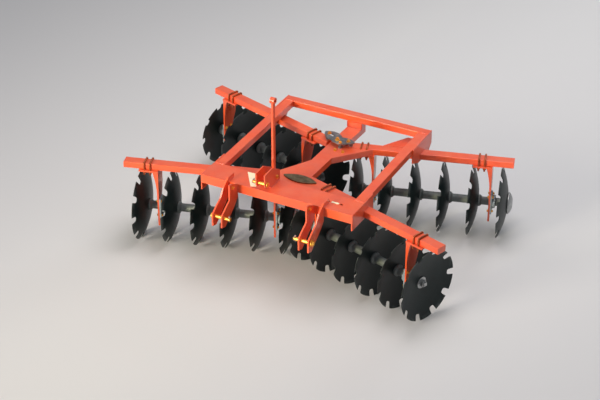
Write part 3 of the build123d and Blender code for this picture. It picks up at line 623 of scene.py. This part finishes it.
def make_stage():
    """A plain pale floor."""
    half = FLOOR_HALF
    data = bpy.data.meshes.new("studio_floor")
    data.from_pydata([(-half, -half, 0), (half, -half, 0), (half, half, 0), (-half, half, 0)], [],
                     [(0, 1, 2, 3)])
    floor = bpy.data.objects.new("studio_floor", data)
    bpy.context.scene.collection.objects.link(floor)
    material, _, shader = new_material("studio_floor")
    shader.inputs["Base Color"].default_value = linear(212, 212, 213)
    shader.inputs["Roughness"].default_value = 0.9
    data.materials.append(material)


def hang_lamp(name, data, place, target):
    """Hangs a lamp and aims it."""
    lamp = bpy.data.objects.new(name, data)
    bpy.context.scene.collection.objects.link(lamp)
    lamp.location = place
    way = Vector(target) - Vector(place)
    lamp.rotation_mode = "QUATERNION"
    lamp.rotation_quaternion = way.to_track_quat("-Z", "Y")


def soft_light(name, place, size, power, colour=(1, 1, 1), spread=180):
    """A square lamp; a spread in degrees below 180 keeps its light off the floor beneath it."""
    data = bpy.data.lights.new(name, "AREA")
    data.shape = "SQUARE"
    data.size = size
    data.spread = math.radians(spread)
    data.energy = power
    data.color = colour
    hang_lamp(name, data, place, MACHINE_MIDDLE)


def low_beam(name, place, softness, power, colour):
    """A narrow lamp from afar, low enough to light what stands more than the floor."""
    data = bpy.data.lights.new(name, "SPOT")
    data.shadow_soft_size = softness
    data.spot_size = math.radians(LOW_BEAM_CONE)
    data.spot_blend = 0.35
    data.energy = power
    data.color = colour
    hang_lamp(name, data, place, FRAME_MIDDLE)


def make_light():
    """Warm light from the hitch side, soft light from above and behind, and a pale world."""
    soft_light("key_from_hitch_left", (-4.4, -9.4, 4.2), size=3.6, power=96,
               colour=(1.0, 0.90, 0.76), spread=KEY_SPREAD)
    low_beam("low_beam_from_hitch", (-3.4, -13.0, 1.7), softness=0.8, power=4900,
             colour=(1.0, 0.91, 0.55))
    soft_light("top_light", (0.5, 0.8, 6.5), size=4.5, power=235, colour=(1.0, 0.96, 0.95))
    soft_light("fill_from_right", (6.5, -2.0, 3.0), size=3.5, power=22)
    soft_light("rim_from_rear", (1.5, 7.0, 4.0), size=3.0, power=110)
    world = bpy.data.worlds.new("studio_world")
    bpy.context.scene.world = world
    world.use_nodes = True
    background = world.node_tree.nodes["Background"]
    background.inputs["Color"].default_value = WORLD_COLOUR
    background.inputs["Strength"].default_value = WORLD_STRENGTH


make_camera()
make_stage()
make_light()
bpy.context.scene.view_settings.view_transform = "Standard"


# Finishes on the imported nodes
def dress_nodes():
    """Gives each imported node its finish, by its own name or by its material slot."""
    finishes = {"orange_paint": ORANGE, "cast_iron": SPOOL_IRON, "housing_iron": HOUSING_IRON,
                "bare_steel": AXLE_STEEL, "yellow_zinc": YELLOW_ZINC}
    slots = {row["node"]: row["material_slot"] for row in frame["record"]["subparts"]}
    for gang, place in GANGS.items():
        axis = (place.side * math.cos(place.turn), math.sin(place.turn), 0.0)
        centre = (place.side * place.x, place.y, AXLE_Z)
        finishes["discs_" + gang] = disc_paint("disc_enamel_" + gang, centre, axis)
        finishes["clamps_" + gang] = CLAMP_STEEL
    finishes["front_lens_plate"] = FRONT_LENS_STEEL
    finishes["rear_lens_plate"] = REAR_LENS_STEEL
    for name, piece in frame["nodes"].items():
        piece.data.materials.clear()
        piece.data.materials.append(finishes.get(name) or finishes[slots[name]])


dress_nodes()


# Discs with a smooth dish, rounded notches and a ground edge
def dish_height(r):
    """How far the hollow side of a disc rises above its hub plate at a radius."""
    return DISC_DISH * (r ** 2 - DISC_FLAT_R ** 2) / (DISC_R ** 2 - DISC_FLAT_R ** 2)


def notched_outline(half_pitch_off):
    """Points round a disc's edge as (radius, angle); the notches stand on or between the pitch lines."""
    pitch = 2 * math.pi / NOTCHES
    mouth_x = math.sqrt(DISC_R ** 2 - NOTCH_MOUTH_HALF ** 2)
    corner_angle = math.atan2(NOTCH_MOUTH_HALF, mouth_x)
    side = []
    for a in (0.0, math.pi / 4, math.pi / 2):
        side.append((NOTCH_FLOOR + NOTCH_ROUND * (1 - math.cos(a)),
                     NOTCH_HALF - NOTCH_ROUND * (1 - math.sin(a))))
    side.append((mouth_x, NOTCH_MOUTH_HALF))
    half = [(math.hypot(x, y), math.atan2(y, x)) for x, y in side]
    for k in (1, 2):
        half.append((DISC_R, corner_angle + (pitch / 2 - corner_angle) * k / 3))
    points = []
    for i in range(NOTCHES):
        middle = pitch * (i + 0.5 * half_pitch_off)
        points += [(r, middle - a) for r, a in reversed(half)]
        points.append((NOTCH_FLOOR, middle))
        points += [(r, middle + a) for r, a in half]
        points.append((DISC_R, middle + pitch / 2))
    return points


def smooth_disc(mesh, gang, i):
    """Disc i of a gang: rings of points from the square bore to the notched edge, on both faces."""
    hollow_out = GANGS[gang].hollow_out
    hub = hub_place(i, hollow_out)
    outline = notched_outline(1 - i % 2)
    count = len(outline)
    fixed = (DISC_FLAT_R, *DISC_RING_RADII)

    def ring_points(share, depth):
        """One ring: share under 0 is the bore, up to 5 a fixed radius, then on to the edge at 6."""
        points = []
        for k, (edge_r, edge_angle) in enumerate(outline):
            even = outline[0][1] + 2 * math.pi * k / count
            if share < 0:
                r = DISC_BORE_HALF / max(abs(math.cos(even)), abs(math.sin(even)))
                angle = even
            elif share <= 5:
                r, angle = fixed[int(share)], even + (edge_angle - even) * share / 6
            else:
                part = share - 5
                r = fixed[5] + (edge_r - fixed[5]) * part
                angle = even + (edge_angle - even) * (5 + part) / 6
            z = dish_height(max(r, DISC_FLAT_R)) - depth
            points.append(on_gang(gang, hub + hollow_out * z, r * math.sin(angle),
                                  AXLE_Z + r * math.cos(angle)))
        return points

    hollow_rings = [ring_points(s, 0.0) for s in (-1, 0, 1, 2, 3, 4, 5, 5.35, 5.7, 6)]
    crown_rings = [ring_points(6, DISC_EDGE_T)]
    crown_rings += [ring_points(s, DISC_T) for s in (5.82, 5.4, 5, 4, 3, 2, 1, 0, -1)]
    rows = [[mesh.verts.new(p) for p in points] for points in hollow_rings + crown_rings]
    for lower, upper in zip(rows, rows[1:] + rows[:1]):
        for k in range(count):
            j = (k + 1) % count
            mesh.faces.new((lower[k], lower[j], upper[j], upper[k]))


def smooth_discs():
    """The discs of each gang, in place of its plainer solids."""
    for gang in GANGS:
        mesh = bmesh.new()
        for i in range(DISC_COUNT):
            smooth_disc(mesh, gang, i)
        node_name = "discs_" + gang
        enamel = frame["nodes"][node_name].data.materials[0]
        piece = finished("notched_" + node_name, mesh, enamel, "gang_" + gang, 18)
        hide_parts(node_name)


smooth_discs()


# Welds along the joints of the frame
def frame_welds():
    """Welds of the side members, hitch plates, ears and the centre beam's riser."""
    mesh = bmesh.new()
    for side in (1, -1):
        outer, inner = side * FRAME_HALF, side * (FRAME_HALF - MEMBER_W)
        weld(mesh, (inner, DECK_REAR, FRONT_TOP), (outer, DECK_REAR, FRONT_TOP))
        weld(mesh, (inner, DECK_REAR, FRONT_TOP - MEMBER_H), (inner, DECK_REAR, FRONT_TOP))
        weld(mesh, (inner, REAR_BAR_Y, REAR_TOP), (outer, REAR_BAR_Y, REAR_TOP))
        weld(mesh, (inner, REAR_BAR_Y, REAR_TOP - MEMBER_H), (inner, REAR_BAR_Y, REAR_TOP - 0.006))
        for x in HITCH_PLATE_X:
            for edge in (x - HITCH_T / 2, x + HITCH_T / 2):
                weld(mesh, (side * edge, FRONT_Y, FRONT_TOP - LIP_H),
                     (side * edge, FRONT_Y, FRONT_TOP - 0.004))
        for edge in (HITCH_PLATE_X[1] - HITCH_T / 2, HITCH_PLATE_X[1] + HITCH_T / 2):
            weld(mesh, (side * edge, FRONT_Y + 0.004, FRONT_TOP),
                 (side * edge, FRONT_Y + HITCH_DECK_RUN - 0.002, FRONT_TOP))
    for x in EAR_X:
        for edge in (x - EAR_T / 2, x + EAR_T / 2):
            weld(mesh, (edge, DECK_REAR - EAR_FOOT_LEN + 0.003, FRONT_TOP),
                 (edge, DECK_REAR - 0.004, FRONT_TOP))
    for edge in (-TRUNK_HALF, TRUNK_HALF):
        weld(mesh, (edge, REAR_BAR_Y, BEAM_TOP), (edge, REAR_BAR_Y, REAR_TOP - MEMBER_H))
    finished("frame_welds", mesh, ORANGE_WELD, "frame", 60)


def flare_welds():
    """Welds along the gang beams where the centre beam's flares meet them."""
    mesh = bmesh.new()
    half = BEAM_W / 2 / math.cos(GANG_ANGLE)
    for side, front, reach in ((-1, True, FRONT_FLARE_W), (1, False, REAR_FLARE_W)):
        way = 1 if front else -1
        inner, outer = TRUNK_HALF, TRUNK_HALF + reach - 0.012
        for z in (BEAM_LOW, BEAM_TOP):
            weld(mesh, (side * inner, beam_line(front, inner) + way * half, z),
                 (side * outer, beam_line(front, outer) + way * half, z), BEAM_WELD_R)
    finished("flare_welds", mesh, ORANGE_WELD, "frame", 60)


def window_welds():
    """Welds round the gang beams where they pass through the side plates, on both faces of each plate."""
    mesh = bmesh.new()
    half = BEAM_W / 2
    for gang, place in GANGS.items():
        for face in (FRAME_HALF, FRAME_HALF + SIDE_T):
            u = (face - place.x) / math.cos(place.turn)
            corners = [on_gang(gang, u + v * math.tan(place.turn), v, 0.0) for v in (-half, half)]
            for z in (BEAM_LOW, BEAM_TOP):
                rise = Vector((0, 0, z))
                weld(mesh, corners[0] + rise, corners[1] + rise, BEAM_WELD_R)
            for corner in corners:
                weld(mesh, corner + Vector((0, 0, BEAM_LOW)), corner + Vector((0, 0, BEAM_TOP)),
                     BEAM_WELD_R)
    finished("side_plate_welds", mesh, ORANGE_WELD, "frame", 60)


def hanger_welds():
    """Welds under each foot, along its leg and its rib."""
    mesh = bmesh.new()
    for gang in GANGS:
        way = GANGS[gang].hollow_out
        for x in hanger_places(gang):
            face, corner = x + way * LEG_T / 2, RIB_T - LEG_FRONT
            inner = on_gang(gang, face, corner, FOOT_LOW)
            weld(mesh, inner, on_gang(gang, face, LEG_TOP_REAR - 0.004, FOOT_LOW), BEAM_WELD_R)
            weld(mesh, inner, on_gang(gang, face + way * RIB_W, corner, FOOT_LOW), RIB_WELD_R)
    finished("hanger_welds", mesh, ORANGE_WELD, "frame", 60)


frame_welds()
flare_welds()
window_welds()
hanger_welds()


# Bolts, nuts and screw ends
def housing_bolts():
    """Three bolts through each bearing housing's flange and its leg."""
    mesh = bmesh.new()
    for gang in GANGS:
        way = -GANGS[gang].hollow_out
        for x in hanger_places(gang):
            for v, w in HOUSING_BOLTS:
                start = on_gang(gang, x - way * LEG_T / 2, v, AXLE_Z + w)
                end = on_gang(gang, x + way * (LEG_T / 2 + FLANGE_T), v, AXLE_Z + w)
                bolt_through(mesh, start, end, HOUSING_BOLT_R)
    finished("housing_bolts", mesh, YELLOW_ZINC, "frame", 30)


def grease_nipples():
    """A nipple on top of each bearing: its hexagon, neck and ball."""
    mesh = bmesh.new()
    for gang in GANGS:
        way = -GANGS[gang].hollow_out
        for x in hanger_places(gang):
            start = on_gang(gang, x + way * (LEG_T / 2 + BEARING_LEN * 0.65), 0,
                            AXLE_Z + BEARING_R - 0.0005)
            turned(mesh, start, (0, 0, 1), [(0, 0.0055), (0.004, 0.0055)], 6)
            turned(mesh, start + Vector((0, 0, 0.004)), (0, 0, 1),
                   [(0, 0.0035), (0.004, 0.0032), (0.006, 0.0022), (0.008, 0.0032), (0.010, 0.0022)], 12)
    finished("grease_nipples", mesh, YELLOW_ZINC, "frame", 30)


def clamp_threads():
    """Screw ridges on the U-bolts' tails under their nuts."""
    mesh = bmesh.new()
    for gang in GANGS:
        for x in hanger_places(gang):
            for shift in (-CLAMP_PITCH / 2, CLAMP_PITCH / 2):
                u = x + GANGS[gang].hollow_out * CLAMP_SHIFT + shift
                for v in (-CLAMP_Y, CLAMP_Y):
                    for k in range(THREAD_ROWS):
                        w = CLAMP_TAIL_LOW + 0.002 + SCREW_PITCH * k
                        turned(mesh, on_gang(gang, u, v, w), (0, 0, 1),
                               [(0, CLAMP_ROD_R * 0.98), (0.0006, CLAMP_ROD_R * 1.07),
                                (0.0012, CLAMP_ROD_R * 0.98)], 12)
    finished("clamp_threads", mesh, CLAMP_STEEL, "frame", 30)


def linch_pin(mesh, place, way, drop):
    """A linch pin down through the end of a pin, with its ring hanging in front."""
    place, way = Vector(place), Vector(way)
    turned(mesh, place + Vector((0, 0, drop)), (0, 0, -1), [(0, LINCH_PIN_R), (2 * drop, LINCH_PIN_R)], 10)
    turned(mesh, place + Vector((0, 0, drop - 0.001)), (0, 0, 1),
           [(0, LINCH_HEAD_R), (0.007, LINCH_HEAD_R)], 12)
    middle = place + Vector((0, 0, 0.004)) + way * 0.006
    sweep = [middle + Vector((0, math.cos(a) * drop * 0.85, math.sin(a) * drop * 0.85))
             for a in (math.pi / 2 + 2 * math.pi * i / 24 for i in range(25))]
    tube(mesh, sweep, LINCH_RING_WIRE_R, 6)


def hitch_fasteners():
    """Collars, heads and linch pins of the lower hitch pins and the top link pin."""
    mesh = bmesh.new()
    for side in (1, -1):
        outer = side * (HITCH_PLATE_X[1] + HITCH_T / 2)
        turned(mesh, (outer + side * 0.001, HITCH_PIN_Y, HITCH_PIN_Z), (side, 0, 0),
               [(0, 0.0235), (0.001, 0.0245), (0.005, 0.0245), (0.006, 0.0235)], 28)
        hex_head(mesh, (outer + side * 0.007, HITCH_PIN_Y, HITCH_PIN_Z), (side, 0, 0),
                 HITCH_HEAD_R, HITCH_HEAD_H)
        bolt_through(mesh, (side * (HITCH_PLATE_X[0] + HITCH_T / 2), *HITCH_BOLT_PLACE),
                     (side * (HITCH_PLATE_X[0] - HITCH_T / 2), *HITCH_BOLT_PLACE), HITCH_BOLT_R)
    outer = EAR_X[1] + EAR_T / 2
    turned(mesh, (outer + 0.0005, EAR_PIN_Y, EAR_PIN_Z), (1, 0, 0),
           [(0, 0.0185), (0.001, 0.0195), (0.008, 0.0195), (0.009, 0.0185)], 28)
    finished("hitch_pin_heads", mesh, YELLOW_ZINC, "frame", 30)
    mesh = bmesh.new()
    for side in (1, -1):
        linch_pin(mesh, (side * HITCH_LINCH_X, HITCH_PIN_Y, HITCH_PIN_Z), (-side, 0, 0), 0.021)
    ear_end = EAR_X[0] - EAR_T / 2 - EAR_LINCH_OUT
    linch_pin(mesh, (ear_end, EAR_PIN_Y, EAR_PIN_Z), (-1, 0, 0), 0.019)
    finished("linch_pins", mesh, WHITE_ZINC, "frame", 40)


def joint_plate_bolts():
    """Bolts on the rear joint plates and on the flare in front of them."""
    mesh = bmesh.new()
    for x, y, z, radius in JOINT_BOLTS:
        hex_head(mesh, (x, y, z), (0, 0, 1), radius, radius * 1.15)
        threaded_end(mesh, (x, y, z + radius), (0, 0, 1), radius * 0.55, radius * 0.5)
    finished("joint_plate_bolts", mesh, YELLOW_ZINC, "frame", 30)


housing_bolts()
grease_nipples()
clamp_threads()
hitch_fasteners()
joint_plate_bolts()


def flat_patch(mesh, corners, low, thickness):
    """A thin flat piece over corners."""
    loft(mesh, [[(x, y, low) for x, y in corners], [(x, y, low + thickness) for x, y in corners]])


def painted_glare_and_pale_strip():
    """Pale patches on the deck: a painted glare left of the ears, standing in for a highlight, and a pale
    strip between the two slots.
    """
    mesh = bmesh.new()
    low = FRONT_TOP + GLARE_PATCH_GAP
    # The patch left of the ears is a painted highlight: a glare on the deck drawn as a thin cream sheet
    flat_patch(mesh, EAR_GLARE, low, GLARE_PATCH_T)
    left, right = SLOT_ENDS[0] + SLOT_PALE_STRIP_IN, SLOT_ENDS[1] - SLOT_PALE_STRIP_IN
    front, rear = SLOT_Y - SLOT_PALE_STRIP_HALF, SLOT_Y + SLOT_PALE_STRIP_HALF
    flat_patch(mesh, [(left, front), (right, front), (right, rear), (left, rear)], low, GLARE_PATCH_T)
    finished("painted_glare_and_pale_strip", mesh, GLARE_AND_PALE_STRIP, "frame")


painted_glare_and_pale_strip()
